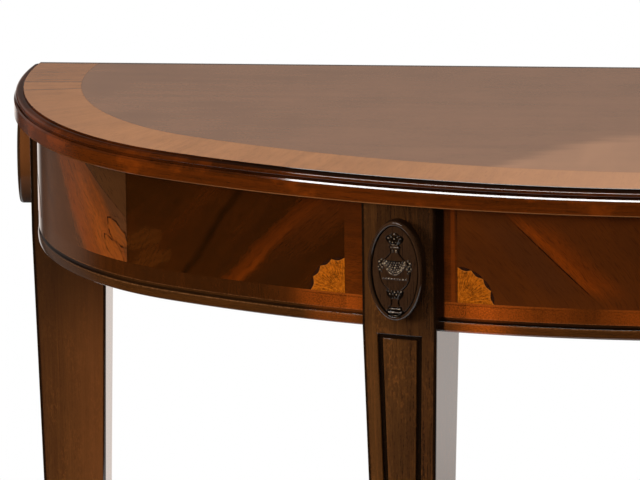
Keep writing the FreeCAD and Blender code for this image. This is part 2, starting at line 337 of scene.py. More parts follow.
leg_spacing = 0.37
leg_cut = 1.3
leg_shadow = shade(34, 18, 9)
leg_line = shade(12, 6, 3)
leg_finish, wire = new_finish("leg_mahogany")
along, across = on_grain(wire)
colour, pore = mahogany(
    wire, along, across, 1.0, shade(26, 13, 7), shade(40, 22, 10), shade(84, 51, 23), 0.006)
streak = wire.noise(along * 6, across * 420, 1.7, 4, 0.7).rise(0.5, 0.72)
colour = (streak * 0.36).blend(colour, shade(112, 66, 29))
fleck = wire.noise(along * 230, across * 520, 4.4, 3, 0.65).rise(0.46, 0.68)
blotch = wire.noise(along * 16, across * 60, 6.1, 3).rise(0.35, 0.65)
colour = (fleck * blotch * 0.36).blend(colour, shade(128, 74, 33))
from_left = wire.maths("FRACT", across / leg_spacing) * leg_spacing
# Painted light on the left of each leg's outward face, and painted shade towards its right stile and round
# the other faces.
colour = (from_left.rise(0.022, 0.004) * 0.2).blend(colour, shade(116, 70, 30))
colour = (from_left.rise(0.018, 0.05) * 0.24).blend(colour, leg_shadow)
right_stile = from_left.rise(0.035, 0.06) * from_left.rise(0.075, 0.068)
colour = (right_stile * 0.2).blend(colour, leg_shadow)
_, back_leg, height = in_space(wire)
# Painted shade darkens the legs above the foot of the frieze.
colour = (height.rise(apron_low - 0.012, apron_low + 0.012) * 0.26).blend(colour, shade(26, 14, 7))
rear = back_leg.rise(0.0, 0.08)
inner_side = from_left.rise(leg_width * 1.1, leg_width * 1.9)
colour = (rear * (0.16 + inner_side * 0.28)).blend(colour, shade(126, 72, 35))
colour = (rear * height.rise(apron_low - 0.13, apron_low - 0.02) * 0.6).blend(colour, shade(30, 17, 8))
half_face = leg_width / 2 - leg_arris
face_pitch = 2 * half_face + leg_arris * math.pi / 2
from_middle = abs(wire.maths("FRACT", from_left / face_pitch) * face_pitch - half_face)
arris_line = from_middle.rise(half_face - 0.0020, half_face - 0.0008)
colour = (arris_line * 0.85).blend(colour, leg_line)
# Painted shade darkens the routed line.
colour = (marked(wire, "groove_shade").rise(0.15, 0.75) * 0.93).blend(colour, leg_line)
lacquer(wire, colour, 0.42 + pore * 0.2, 1 - pore)

grid, grain, groove_shaded = leg_grid()
for number, leg in enumerate(leg_places):
    shifted = grain + [number * leg_cut, number * leg_spacing]
    mesh = shell("post_" + leg, at_leg(grid, leg), shifted)
    mark(mesh, "groove_shade", groove_shaded)
    post = fit("post_" + leg, mesh, leg_finish, "leg_mahogany", "leg_" + leg)
    # Polish mirrors the pale studio behind the table, not the rear legs and their plaques.
    post.visible_glossy = leg.startswith("front")


# Plaques: four ovals carved in mahogany and glued to the legs at frieze height. Each has a rounded rim and
# a lidded urn in relief, with bows for handles, ropes of swags between them, a row of pearls, a leaf cup
# and a turned foot. Painted shade darkens the hollows and painted highlights brighten the crests.

plaque_low, plaque_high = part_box("plaque_rear_left")
plaque_width = plaque_high.y - plaque_low.y
plaque_height = plaque_high.z - plaque_low.z
plaque_base = 0.008
rim_width = 0.004
rim_thickness = 0.013
plaque_ground = 0.0110
urn_relief = 0.0010
carving_height = 0.0010
urn_groove_width = 0.0011
urn_groove_depth = 0.0012
ground_crown = 0.0002
ditch_width = 0.0006
ditch_depth = 0.0010
wall_shares = np.array([0.92, 0.7, 0.4, 0.1, -0.05])
# Millimetres from the plaque's middle: the urn's heights and half widths, then each knob's place and
# radius, then each ridge's height, half length and thickness.
urn_outline = np.array([
    (-41.2, 0.0), (-41.0, 4.8), (-39.0, 5.4), (-38.6, 5.0), (-38.0, 6.6), (-35.6, 6.8),
    (-35.2, 5.2), (-32.6, 5.2), (-31.8, 3.4), (-29.0, 2.8), (-26.0, 2.8), (-24.2, 4.2),
    (-22.0, 6.2), (-18.0, 6.8), (-17.2, 5.2), (-15.5, 7.4), (-12.5, 10.2), (-8.0, 12.4),
    (-2.0, 13.4), (4.0, 13.0), (8.6, 11.4), (10.0, 8.6), (12.5, 5.8), (15.4, 3.6),
    (16.6, 3.2), (20.2, 3.4), (20.8, 4.2), (22.4, 4.0), (23.2, 2.6), (24.6, 3.8),
    (26.5, 6.4), (29.4, 7.2), (31.6, 5.6), (32.6, 2.0), (34.0, 1.4), (34.6, 0.0)]) / 1000
knobs = np.array([
    (0.0, 33.6, 0.9), (5.4, 29.8, 0.7), (2.8, 30.9, 0.7), (0.0, 29.4, 0.7), (4.0, 26.8, 0.7),
    (1.5, 26.2, 0.6), (0.0, -18.4, 0.8), (3.0, -18.1, 0.8), (5.8, -17.9, 0.7), (1.6, -20.6, 0.7),
    (4.4, -20.4, 0.7), (0.0, -23.0, 0.7), (1.7, 18.9, 1.0), (1.7, 17.5, 0.8), (9.6, 8.8, 1.0),
    (11.8, 9.5, 1.1), (13.9, 8.0, 1.2), (10.5, 6.4, 1.1), (13.1, 5.3, 1.6), (14.7, 3.2, 0.9),
    (11.3, 3.2, 1.3), (13.5, 0.8, 1.2), (11.8, -0.8, 0.8)]) / 1000
ridges = np.array([
    (21.7, 3.8, 0.9), (24.0, 2.8, 0.7), (-33.7, 5.0, 0.9), (-36.8, 6.3, 1.3), (-40.0, 5.0, 1.1)]) / 1000
finial_low, finial_high, finial_root = 0.0238, 0.0322, 0.0195
cup_low, cup_high, cup_root = -0.0242, -0.0172, -0.0290
foot_top = -0.0322
rib_count, rib_share = 17, 0.5
swag_count = 6
swag_half = 0.0106
swag_top, swag_step = 0.0096, 0.0004
swag_sag, swag_sag_step = 0.0018, 0.0017
swag_thickness = 0.0017
swag_twist, twist_shift = 0.0023, 0.37
weave_top, weave_step = 0.42, 0.07
swags_foot, swags_sag = 0.0076, 0.0105
pearl_line = -0.0067
pearl_thickness = 0.0014
pearl_spacing = 0.0026
pearl_reach = 0.0110
plaque_cut = 0.7
carving_marks = ("crest", "hollow", "wall")


def closed(values, axis=0):
    """Values with the first one again at the end, as a ring's map needs them."""
    return np.concatenate([values, values.take([0], axis)], axis)


def bell(away, place, width, power=2):
    """1 at a place, and beside it e to the minus of the distance over a width, raised to a power."""
    return np.exp(-((away - place) / width) ** power)


def half_round(distance, width):
    """Height of a half circle of a width, as a share of its top, at a distance from its middle."""
    return np.sqrt(np.clip(1 - (distance / (width / 2)) ** 2, 0, 1))


def plaque_grid():
    """Oval sheet of rings: width and height go as the cosine and sine of the angle times the ring's share.
    The sheet stands out by the ground, plus a half-round rim by distance from the edge, plus the urn, half
    an ellipse across whose half width follows the outline, plus the highest of its knobs, ridges, hanging
    ropes and pearls, all half round, and of the ribs that spread from a point under the finial and under
    the leaf cup, less a groove round the urn. Gives the grid, its map, and each point's share of crest, for
    painted highlights, of hollow, for painted shade, and of outer wall."""
    wide, tall = plaque_width / 2, plaque_height / 2
    share = np.concatenate([np.linspace(0.004, 0.80, 128), np.linspace(0.805, 0.999, 36)])[:, None]
    angle = np.linspace(0, 2 * math.pi, 320, endpoint=False)[None]
    x = wide * share * np.cos(angle)
    z = tall * share * np.sin(angle)
    inside = (1 - share) * share / np.hypot(x / wide ** 2, z / tall ** 2)
    half = np.interp(z, urn_outline[:, 0], urn_outline[:, 1], left=0, right=0) + 1e-6
    across = np.clip(np.abs(x) / half, 0, 1)
    body = urn_relief * (half / urn_outline[:, 1].max()) ** 0.3 * np.sqrt(1 - across ** 2) ** 0.6

    carving = np.zeros_like(x)
    halo = np.zeros_like(x)
    for knob_x, knob_z, size in knobs:
        distance = np.hypot(np.abs(x) - knob_x, z - knob_z)
        carving = np.maximum(carving, carving_height * half_round(distance, 2 * size))
        halo = np.maximum(halo, np.exp(-np.clip(distance / size - 0.9, 0, None) ** 2 / 0.18))
    finial = (z > finial_low) & (z < finial_high) & (across < 1)
    cup = (z > cup_low) & (z < cup_high) & (across < 1)
    ribs = np.cos(rib_count * np.arctan2(x, np.where(finial, z - finial_root, z - cup_root)))
    carving = np.maximum(carving, carving_height * rib_share * np.clip(ribs, 0, 1) * (finial | cup))
    for ridge_z, reach, thick in ridges:
        carving = np.maximum(carving, carving_height * half_round(z - ridge_z, thick) * (np.abs(x) < reach))
    hung = np.abs(x) < swag_half
    slack = 1 - (x / swag_half) ** 2
    for number in range(swag_count):
        hang = swag_top - swag_step * number - (swag_sag + swag_sag_step * number) * slack
        weave = weave_top - weave_step * number
        twist = 1 - weave + weave * np.cos(2 * math.pi * (x / swag_twist + twist_shift * number))
        rope = half_round(z - hang, swag_thickness) * twist * hung
        carving = np.maximum(carving, carving_height * rope)
    pearls = half_round(z - pearl_line, pearl_thickness) * (np.abs(x) < pearl_reach)
    pearls = pearls * np.abs(np.cos(math.pi * x / pearl_spacing))
    carving = np.maximum(carving, carving_height * pearls)

    groove = np.clip(1.3 - np.abs(np.abs(x) - half) / urn_groove_width, 0, 1)
    groove = groove * (across >= 1) * (half > 0.001)
    out = plaque_ground + ground_crown * (1 - share ** 2) - urn_groove_depth * groove
    out = out + np.where(across < 1, body, 0) + carving
    swell = half_round(inside - rim_width / 2, rim_width * 1.08) ** 0.7
    rim = plaque_base + (rim_thickness - plaque_base) * swell
    ditch = bell(inside, rim_width, ditch_width)
    out = np.where(inside < rim_width, rim, out - ditch_depth * ditch)
    swags = hung & (z < swag_top) & (z > swags_foot - swags_sag * slack)
    carved = swags | finial | cup | ((z < foot_top) & (across < 1))
    crest = np.clip(carving / carving_height, 0, 1) * (inside > rim_width)
    hollow = np.maximum(np.maximum(groove, ditch * (inside > rim_width * 0.8)),
                        np.maximum(carved, halo * 0.9) * (1 - crest))

    face = np.stack(np.broadcast_arrays(x, -out, z), -1)
    edge = np.repeat(face[-1:], len(wall_shares), axis=0)
    edge[:, :, 1] *= wall_shares[:, None]
    grid = np.concatenate([face, edge])
    grain = np.stack([grid[..., 2], grid[..., 0]], -1)
    bare = np.zeros(edge.shape[:2])
    pairs = ((crest, bare), (hollow, bare), (0 * crest, bare + 1))
    return grid, closed(grain, 1), [np.concatenate(pair) for pair in pairs]


plaque_finish, wire = new_finish("carved_mahogany")
along, across = on_grain(wire)
colour, pore = mahogany(
    wire, along, across, 5.0, shade(22, 12, 6), shade(38, 23, 13), shade(58, 37, 21), 0.004)
crest, hollow, wall = (marked(wire, name) for name in carving_marks)
glint_and_texture = wire.noise(along * 420, across * 420, 2.0, 3).rise(0.38, 0.62)
# Painted shade darkens the hollows; painted highlights, broken by noise that also varies roughness and
# bump, brighten the crests.
colour = (hollow.rise(0.15, 0.8) * 0.9).blend(colour, shade(10, 6, 3))
colour = (crest.rise(0.5, 1.0) * (0.06 + glint_and_texture * glint_and_texture * 0.75)).blend(colour, shade(168, 146, 120))
# Painted light and shade on the outer wall of each plaque: lit and warm high on the rear ones, dark on the
# front ones.
_, back_leg, height = in_space(wire)
wall_light = height.rise(apron_low + 0.01, apron_low + 0.08) * back_leg.rise(0.0, 0.08)
colour = (wall * 0.8).blend(colour, wall_light.blend(shade(40, 24, 13), shade(112, 64, 30)))
lacquer(wire, colour, 0.36 + glint_and_texture * 0.15, glint_and_texture, depth=0.0001, coat=0.07, polish=0.75 - wall * 0.67)

grid, grain, shares = plaque_grid()
for number, leg in enumerate(leg_places):
    low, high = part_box("plaque_" + leg)
    raised = grid + [0, 0, (low.z + high.z) / 2]
    mesh = shell("urn_" + leg, at_leg(raised, leg), grain + [number * plaque_cut, 0.0], sharp=60)
    for name, values in zip(carving_marks, shares):
        mark(mesh, name, values)
    urn = fit("urn_" + leg, mesh, plaque_finish, "carved_mahogany", "plaque_" + leg)
    urn.visible_glossy = leg.startswith("front")


# Rails: the bent apron rails, laminated from strips of hardwood, and the straight rear rail, all tenoned
# into the legs. They are stained dark, left without polish, and seen only from behind and from below.


def bare_wood(wire, colour, roughness, height, strength, depth):
    """Stained wood without polish: a dull ground with its saw marks or pores in low relief."""
    bump = wire.node("Bump", {}, {"Strength": strength, "Distance": depth, "Height": height})
    shader = wire.node("BsdfPrincipled", {}, {
        "Base Color": colour, "Roughness": roughness, "Normal": bump, "Specular IOR Level": 0.3})
    wire.node("OutputMaterial", {}, {"Surface": shader})


def refinish(node, finish):
    """Gives a solid of the frame a finish in place of its plain one."""
    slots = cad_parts[node].data.materials
    slots.clear()
    slots.append(finish)


rail_finish, wire = new_finish("rail_wood")
along, deep_in, height = in_space(wire)
ring = wire.noise(along * 1.2, deep_in * 6, height * 60, 4, 0.6)
fleck = wire.noise(along * 30, deep_in * 200, height * 900, 2)
saw = wire.noise(along * 420, deep_in * 420, height * 9, 2)
colour = ring.rise(0.32, 0.68).blend(shade(62, 37, 20), shade(98, 62, 35))
colour = (fleck.rise(0.55, 0.75) * 0.5).blend(colour, shade(42, 24, 13))
bare_wood(wire, colour, 0.62 + saw * 0.2, saw + fleck * 0.5, strength=0.4, depth=0.0004)
for rail in ("apron_left_rail", "apron_centre_rail", "apron_right_rail", "rear_rail"):
    refinish(rail, rail_finish)


# Frieze veneers: each apron is faced with two halves of one flame-figured mahogany leaf, opened like a book
# and glued either side of an upright seam, so that the flames run down into the seam from both sides.

veneer = 0.0015
lower_band_height = 0.014
bead_height = 0.009
quirk_height = 0.004
end_band_width = 0.0175
bead_top = apron_low + bead_height
lower_band_low = bead_top + quirk_height
field_low = lower_band_low + lower_band_height
facing_back = apron_inset + veneer
tuck = 0.0002
leg_side = leg_width / 2 - tuck
band_end = leg_width / 2 + end_band_width
strip_spacing = 0.005
seam_shift = 0.009
apron_turns = {
    "left": (rear_turn, front_turn),
    "centre": (front_turn, -front_turn),
    "right": (-front_turn, -rear_turn)}


def run(turn_from, turn_to, inset):
    """Turns close together along a line of the plan, and the length run at each: the sum of the steps."""
    turns = np.linspace(turn_from, turn_to, 4001)
    x, y = plan(turns, inset)
    return turns, np.concatenate([[0], np.cumsum(np.hypot(np.diff(x), np.diff(y)))])


def carried(profile, turns):
    """Profile of (inset, height) points carried round the plan, each point on a line of its own."""
    x, y = plan(turns.reshape(len(turns), -1), profile[None, :, 0])
    return np.stack(np.broadcast_arrays(x, y, profile[None, :, 1]), -1)


def strip(apron, start, end, profile):
    """Profile carried along an apron between two lengths from the left leg's axis, with its lengths as the
    map's first value and the height as its second."""
    turns, lengths = run(*apron_turns[apron], apron_inset)
    stations = np.linspace(start, end, max(2, round((end - start) / strip_spacing) + 1))
    grid = carried(profile, np.interp(stations, lengths, turns))
    return grid, paired(stations, closed(profile[:, 1]))


def apron_length(apron):
    """Length of an apron's line from one leg's axis to the next one's."""
    return run(*apron_turns[apron], apron_inset)[1][-1]


def flat_facing(low, high):
    """Section of a veneer: its face on the apron line, its back one thickness further in."""
    return np.array([(apron_inset, low), (apron_inset, high), (facing_back, high), (facing_back, low)])


knot_leaves = ((0.0115, 0.0245, 0.0165, 0.0082), (0.0165, 0.0090, 0.0165, 0.0066))
knot_cos, knot_sin = 0.77, 0.64


def flame(name, seed, tones, wedge, streaks, knot, fade=0.0):
    """Flame figure in mahogany. With d the distance from the seam and h the height, fine streaks of noise
    follow d less h times a lean that grows outwards. Each broad streak is a straight band, given by its d
    at the foot, its lean, half width, softness, colour, strength at the foot and at the top, and how far
    noise sways it, and all of them lose the share `fade` towards the foot and the top. A shaded wedge hangs
    from the top beside the seam, above a sloping line, given by its h at the seam, slope, softness, colour
    and share. Two leaves of a knot sit low in its corner, given by their colour, share, share of dark
    lines, softness and spread: each is where the square of the way along it plus the way across it, of the
    swayed place, is less than one."""
    finish, wire = new_finish(name)
    ground, shaded, deep = tones
    d, h = on_grain(wire)
    d = abs(d)
    sway = wire.noise(d * 22, h * 22, seed, 4, 0.6) - 0.5
    flow = d - h * (0.55 + d * 1.9) + sway * 0.010
    broad = wire.noise(flow * 48, h * 6, seed + 2.0, 3, 0.55).rise(0.32, 0.68)
    fine = wire.noise(flow * 420, h * 26, seed + 4.0, 4, 0.7).rise(0.3, 0.7)
    cloud = wire.noise(d * 18, h * 26, seed + 6.0, 4, 0.6).rise(0.34, 0.68)
    fleck = wire.noise(flow * 900, h * 260, seed + 9.0, 2).rise(0.35, 0.65)
    colour = (broad * 0.34 + fine * 0.26 + cloud * 0.26 + fleck * 0.14).blend(shaded, ground)
    kept = 1 - (1 - h.rise(0.004, 0.026) * h.rise(0.086, 0.060)) * fade
    wedge_foot, wedge_slope, wedge_soft, wedge_tone, wedge_share = wedge
    hung = h - wedge_foot - d * wedge_slope + sway * 0.005
    inside = hung.rise(-wedge_soft, wedge_soft)
    for foot, lean, half, soft, tone, low_share, high_share, swing in streaks:
        away = abs(d - h * lean - foot + sway * swing)
        share = h.rise(0.0, 0.089) * (high_share - low_share) + low_share
        band = away.rise(half + soft, half - soft) * (0.3 + fine * 0.45 + broad * 0.1 + fleck * 0.4)
        colour = (band * (1 - inside) * share * kept).blend(colour, tone)
    knot_tone, knot_share, line_share, knot_soft, knot_spread = knot
    broken = wire.noise(d * 130, h * 130, seed + 7.0, 2).rise(0.3, 0.62)
    bent = (wire.noise(d * 60, h * 60, seed + 5.0, 2) - 0.5) * 0.012
    for leaf_d, leaf_h, long, wide in knot_leaves:
        out = d / knot_spread - leaf_d + sway * 0.010
        rise = h - leaf_h + bent
        first = (out * knot_cos + rise * knot_sin) / long
        second = (out * knot_sin - rise * knot_cos) / wide
        leaf = first * first + abs(second)
        vein = wire.maths("SINE", second * 9 + sway * 8) * 0.3
        filled = leaf.rise(1 + knot_soft, 1 - knot_soft) * (knot_share - vein * knot_share)
        colour = filled.blend(colour, knot_tone)
        colour = (abs(leaf - 1).rise(0.17, 0.03) * broken * line_share).blend(colour, deep)
        colour = (abs(leaf - 1.7).rise(0.14, 0.03) * broken * line_share * 0.35).blend(colour, deep)
    colour = (inside * (wedge_share + fine * 0.1)).blend(colour, wedge_tone)
    colour = (abs(hung).rise(0.0012, 0.0) * line_share * 0.5).blend(colour, deep)
    pore = wire.noise(flow * 1100, h * 90, seed + 8.0, 1).rise(0.42, 0.33)
    colour = (pore * 0.4).blend(colour, deep)
    seam = d.rise(0.0007, 0.0001)
    colour = (seam * 0.6).blend(colour, deep)
    lacquer(wire, colour, 0.36 + fine * 0.1, 1 - pore, depth=0.0001, coat=0.035)
    return finish


flame_bright = flame(
    "flame_bright", 3.0, (shade(84, 48, 24), shade(66, 38, 20), shade(34, 15, 5)),
    (0.0400, 0.72, 0.0007, shade(66, 38, 17), 0.85),
    [(0.027, 0.64, 0.030, 0.007, shade(114, 54, 17), 1.15, 0.62, 0.02),
     (0.022, 0.62, 0.007, 0.006, shade(130, 64, 20), 0.75, 0.2, 0.02),
     (0.047, 0.62, 0.003, 0.003, shade(98, 44, 13), 0.5, 0.3, 0.02)],
    (shade(122, 60, 18), 0.6, 0.95, 0.08, 1.0))
flame_dark = flame(
    "flame_dark", 3.0, (shade(56, 23, 3), shade(38, 16, 2), shade(26, 10, 2)),
    (0.0420, 0.76, 0.003, shade(41, 17, 2), 0.8),
    [(0.016, 0.9, 0.009, 0.009, shade(60, 24, 3), 0.4, 0.7, 0.02),
     (0.063, 0.66, 0.0032, 0.0040, shade(26, 10, 1), 1.1, 1.0, 0.014),
     (0.094, 0.75, 0.002, 0.003, shade(38, 16, 3), 0.7, 0.4, 0.03),
     (0.111, 0.93, 0.009, 0.006, shade(77, 30, 3), 1.15, 0.75, 0.022),
     (0.116, 0.93, 0.003, 0.0022, shade(92, 37, 4), 0.9, 0.4, 0.022),
     (0.146, 0.80, 0.014, 0.010, shade(42, 19, 4), 0.95, -0.6, 0.02),
     (0.132, 1.00, 0.024, 0.012, shade(74, 31, 6), 0.0, 0.9, 0.02)],
    (shade(66, 31, 6), 0.55, 0.0, 0.35, 1.7))
flame_mid = flame(
    "flame_mid", 13.0, (shade(80, 36, 8), shade(62, 28, 7), shade(30, 12, 3)),
    (0.060, 0.9, 0.004, shade(64, 30, 8), 0.5),
    [(0.090, 0.9, 0.016, 0.012, shade(68, 33, 12), 0.7, 0.6, 0.02),
     (0.0470, 1.08, 0.0130, 0.012, shade(98, 40, 6), 0.9, 0.9, 0.014),
     (0.0575, 1.08, 0.0060, 0.0036, shade(116, 47, 6), 0.75, 1.0, 0.006),
     (0.0645, 1.07, 0.0008, 0.0007, shade(12, 5, 1), 1.2, 1.1, 0.001)],
    (shade(82, 37, 7), 0.3, 0.0, 0.3, 1.0), 0.85)
halves = {
    "left": (flame_bright, flame_dark),
    "centre": (flame_mid, flame_mid),
    "right": (flame_dark, flame_bright)}
seam_shifts = {"left": -seam_shift, "centre": 0.0, "right": seam_shift}
for apron, finishes in halves.items():
    whole = apron_length(apron)
    seam_at = whole / 2 + seam_shifts[apron]
    spans = ((band_end, seam_at), (seam_at, whole - band_end))
    for side, finish, (start, end) in zip(("left", "right"), finishes, spans):
        grid, grain = strip(apron, start, end, flat_facing(field_low, underside))
        name = f"frieze_{apron}_{side}"
        fit(name, shell(name, grid, grain - [seam_at, field_low]), finish, "flame_veneer",
            f"apron_{apron}_veneer_{side}")


# Bands of the frieze: a low band under each veneer and an upright one beside each leg, all cut across the
# grain from lighter mahogany, which makes them short in the grain and speckled, and glued on edge to edge.

leaf_start = {"left": 0.0, "centre": 2.0, "right": 4.0}
shadow_full = 0.0045
shadow_end = 0.0070
painted_shadow_tone = shade(10, 6, 3)
side_glow, side_glow_place, side_glow_width = 0.45, 0.060, 0.036
middle_glow, middle_glow_place, middle_glow_width = 0.40, 0.074, 0.024
middle_dip, middle_dip_place, middle_dip_width = 0.18, 0.166, 0.018
middle_level = 0.28


def painted_light(apron, rows, start, end):
    """Share of painted light at each row of a strip: a bell that peaks a little way along the apron from
    the nearest front leg. On the middle apron it stands on a level of its own, with a dip further on."""
    stations = np.linspace(start, end, rows)
    rest = apron_length(apron) - stations
    if apron == "centre":
        away = np.minimum(stations, rest)
        peak = middle_glow * bell(away, middle_glow_place, middle_glow_width)
        return middle_level + peak - middle_dip * bell(away, middle_dip_place, middle_dip_width)
    away = rest if apron == "left" else stations
    return side_glow * bell(away, side_glow_place, side_glow_width, power=4)


def painted_leg_shadow(along):
    """Share of the legs' painted shadow on the middle apron: full at first, and gone after 7 mm."""
    first = leaf_start["centre"] + leg_width / 2
    last = leaf_start["centre"] + apron_length("centre") - leg_width / 2
    near_first = abs(along - first).rise(shadow_end, shadow_full)
    near_last = abs(along - last).rise(shadow_end, shadow_full)
    return (near_first + near_last) * 0.9


banding_finish, wire = new_finish("frieze_banding")
across, along = on_grain(wire)
colour, pore = mahogany(
    wire, along * 2.5, across, 8.0, shade(34, 15, 3), shade(46, 21, 4), shade(72, 33, 7), 0.006)
# Painted light near the front legs brightens the band and brings out its speckle.
glow = marked(wire, "painted_light")
speckle = wire.noise(across * 900, along * 700, 14.0, 3, 0.65).rise(0.38, 0.62)
leaf = wire.maths("FRACT", wire.maths("FLOOR", across * 17) * 0.618) - 0.5
patch = wire.noise(across * 40, along * 24, 21.0, 3).rise(0.3, 0.7)
reach = abs(in_space(wire)[0])
# Darker in the middle of each side apron, and greyer at the far ends as a painted reflection.
colour = (reach.rise(0.54, 0.47) * reach.rise(0.33, 0.39) * 0.55).blend(colour, shade(40, 18, 4))
colour = (reach.rise(0.51, 0.56) * 0.55).blend(colour, shade(88, 58, 38))
share = glow * (0.32 + speckle * 0.75 + patch * 0.35 + leaf * 0.5)
colour = wire.maths("MINIMUM", share, 1.0).blend(colour, shade(168, 74, 17))
# Where the painted light falls, a paler line runs along the top of the band and a thin dark one just under
# it.
lit = glow.rise(0.1, 0.45)
line = (along - lower_band_height).rise(-0.0018, -0.0012)
colour = (line * lit * 0.45).blend(colour, shade(124, 60, 18))
thin = abs(along - lower_band_height + 0.0023).rise(0.0006, 0.0002)
colour = (thin * lit * 0.5).blend(colour, shade(30, 13, 3))
# Pale line along the bottom arris of the band: painted highlight over a little rubbing.
highlight_and_rub = along.rise(0.0009, 0.0003) * speckle
colour = (highlight_and_rub * 0.5).blend(colour, shade(128, 84, 50))
# Painted shadow of the legs on the ends of the middle apron.
colour = painted_leg_shadow(across).blend(colour, painted_shadow_tone)
lacquer(wire, colour, 0.4 + pore * 0.2, 1 - pore)

upright_finish, wire = new_finish("upright_banding")
along, across = on_grain(wire)
colour, pore = mahogany(
    wire, along * 3, across, 9.0, shade(36, 16, 3), shade(60, 25, 4), shade(98, 41, 6), 0.008)
half_centre = apron_length("centre") / 2
from_centre = abs(along - leaf_start["centre"] - half_centre)
colour = (from_centre.rise(0.5, 0.4) * 0.28).blend(colour, shade(42, 19, 6))
colour = (across.rise(field_low + 0.040, field_low + 0.070) * 0.55).blend(colour, shade(48, 21, 5))
meet = abs(from_centre - half_centre + band_end)
pale_line = meet.rise(0.0066, 0.0052) * meet.rise(0.0018, 0.0030)
colour = (pale_line * 0.36).blend(colour, shade(120, 50, 10))
colour = (meet.rise(0.0010, 0.0004) * 0.4).blend(colour, shade(40, 17, 4))
# Painted shadow of the legs on the ends of the middle apron.
colour = painted_leg_shadow(along).blend(colour, painted_shadow_tone)
lacquer(wire, colour, 0.4 + pore * 0.2, 1 - pore)

for apron in apron_turns:
    whole = apron_length(apron)
    grid, grain = strip(apron, leg_side, whole - leg_side, flat_facing(lower_band_low, field_low))
    name = f"low_band_{apron}"
    mesh = shell(name, grid, grain + [leaf_start[apron], -lower_band_low])
    glow_rows = painted_light(apron, len(grid), leg_side, whole - leg_side)
    mark(mesh, "painted_light", np.repeat(glow_rows, grid.shape[1]))
    fit(name, mesh, banding_finish, "frieze_banding", f"apron_{apron}_lower_band")
    for side, start, end in (("left", leg_side, band_end), ("right", whole - band_end, whole - leg_side)):
        grid, grain = strip(apron, start, end, flat_facing(field_low, underside))
        name = f"upright_band_{apron}_{side}"
        fit(name, shell(name, grid, grain + [leaf_start[apron], 0.0]), upright_finish, "frieze_banding",
            f"apron_{apron}_end_band_{side}")


# Fans: quarter-round satinwood inlays with a scalloped edge, let into the lower corners of the frieze
# against the bands. The hollows of the scallops are filled with lobes that were scorched dark in hot sand.

fan_radius = 0.032
fan_scallops = 4
scallop_depth = 0.0024
lobe_reach = 0.0007
fan_lift = 0.00025
fan_root = 0.0008
fan_rings = 22


def fan_mesh(name, apron, side):
    """Quarter disc of rings that are shares of its radius. It lies on the apron's line, a hair proud of the
    veneer, with a wall down into it. The map holds each point's way out and up from the corner."""
    turns, lengths = run(*apron_turns[apron], apron_inset)
    angle = np.linspace(0, math.pi / 2, 61)[None]
    share = np.append(np.linspace(0.02, 1, fan_rings), [1.0, 1.0])[:, None]
    radius = share * (fan_radius + lobe_reach * np.abs(np.sin(2 * fan_scallops * angle)))
    out, rise = radius * np.cos(angle), radius * np.sin(angle)
    stations = band_end + out if side == "left" else lengths[-1] - band_end - out
    sink = np.append(np.zeros(fan_rings), [fan_lift * 0.6, fan_root])[:, None]
    x, y = plan(np.interp(stations, lengths, turns), apron_inset - fan_lift + sink)
    grid = np.stack([x, y, rise + field_low], -1)
    return shell(name, grid, closed(np.stack([out, rise], -1), 1))


fan_finish, wire = new_finish("satinwood")
out, rise = on_grain(wire)
spread = wire.maths("ARCTAN2", rise, out)
reach = wire.maths("SQRT", out * out + rise * rise)
scallop = fan_radius - abs(wire.maths("SINE", spread * (2 * fan_scallops))) * scallop_depth
ray = wire.noise(spread * 22, reach * 90, 4.0, 3, 0.6).rise(0.38, 0.62)
mottle = wire.noise(out * 420, rise * 420, 7.0, 4, 0.7).rise(0.38, 0.62)
colour = (ray * 0.6 + mottle * 0.4).blend(shade(76, 33, 4), shade(172, 88, 14))
fleck = wire.noise(out * 800, rise * 800, 9.0, 2).rise(0.56, 0.68)
colour = (fleck * 0.4).blend(colour, shade(196, 112, 34))
inner = (scallop - reach).rise(0.0012, 0.0002)
colour = (inner * 0.45).blend(colour, shade(176, 100, 34))
scorched = mottle.blend(shade(34, 15, 7), shade(48, 22, 10))
colour = (reach - scallop).rise(-0.0001, 0.0002).blend(colour, scorched)
lacquer(wire, colour, 0.34 + mottle * 0.12, mottle, depth=0.0001, coat=0.04)

for apron in apron_turns:
    for side in ("left", "right"):
        name = f"corner_fan_{apron}_{side}"
        fit(name, fan_mesh(name, apron, side), fan_finish, "satinwood", f"apron_{apron}_fan_{side}")


# Beads: a half-round moulding along the bottom of each apron, worked in one length of mahogany with the
# thin fillet behind the quirk above it. Painted shade darkens the quirk.

bead_proud = 0.0008
fillet_proud = 0.0002
bead_bed = 0.00015
quirk_back = facing_back + bead_bed


def bead_profile():
    """Half ellipse from the bottom of the apron to the quirk, in to the fillet and up to the low band."""
    angle = np.linspace(-math.pi / 2, math.pi / 2, 15)
    bead_inset = apron_inset - bead_proud * np.cos(angle)
    bead_z = (apron_low + bead_top) / 2 + bead_height / 2 * np.sin(angle)
    fillet = facing_back - fillet_proud
    tail = [(fillet, bead_top), (fillet, lower_band_low),
            (quirk_back, lower_band_low), (quirk_back, apron_low)]
    return np.concatenate([np.stack([bead_inset, bead_z], -1), tail])


bead_finish, wire = new_finish("bead_mahogany")
along, across = on_grain(wire)
colour, pore = mahogany(
    wire, along, across, 12.0, shade(34, 17, 5), shade(50, 27, 8), shade(74, 40, 13), 0.004)
# Painted light near the front legs brightens the bead and brings out its speckle.
glow = marked(wire, "painted_light")
speckle = wire.noise(along * 500, across * 700, 33.0, 3, 0.6).rise(0.36, 0.64)
colour = (glow.rise(0.2, 0.9) * (0.45 + speckle * 0.5)).blend(colour, shade(172, 78, 18))
# Pale line along the top of the bead: painted highlight over a little rubbing.
highlight_and_rub = abs(across - bead_height + 0.0008).rise(0.0008, 0.0002) * speckle
colour = (highlight_and_rub * 0.5).blend(colour, shade(128, 86, 52))
reach = abs(in_space(wire)[0])
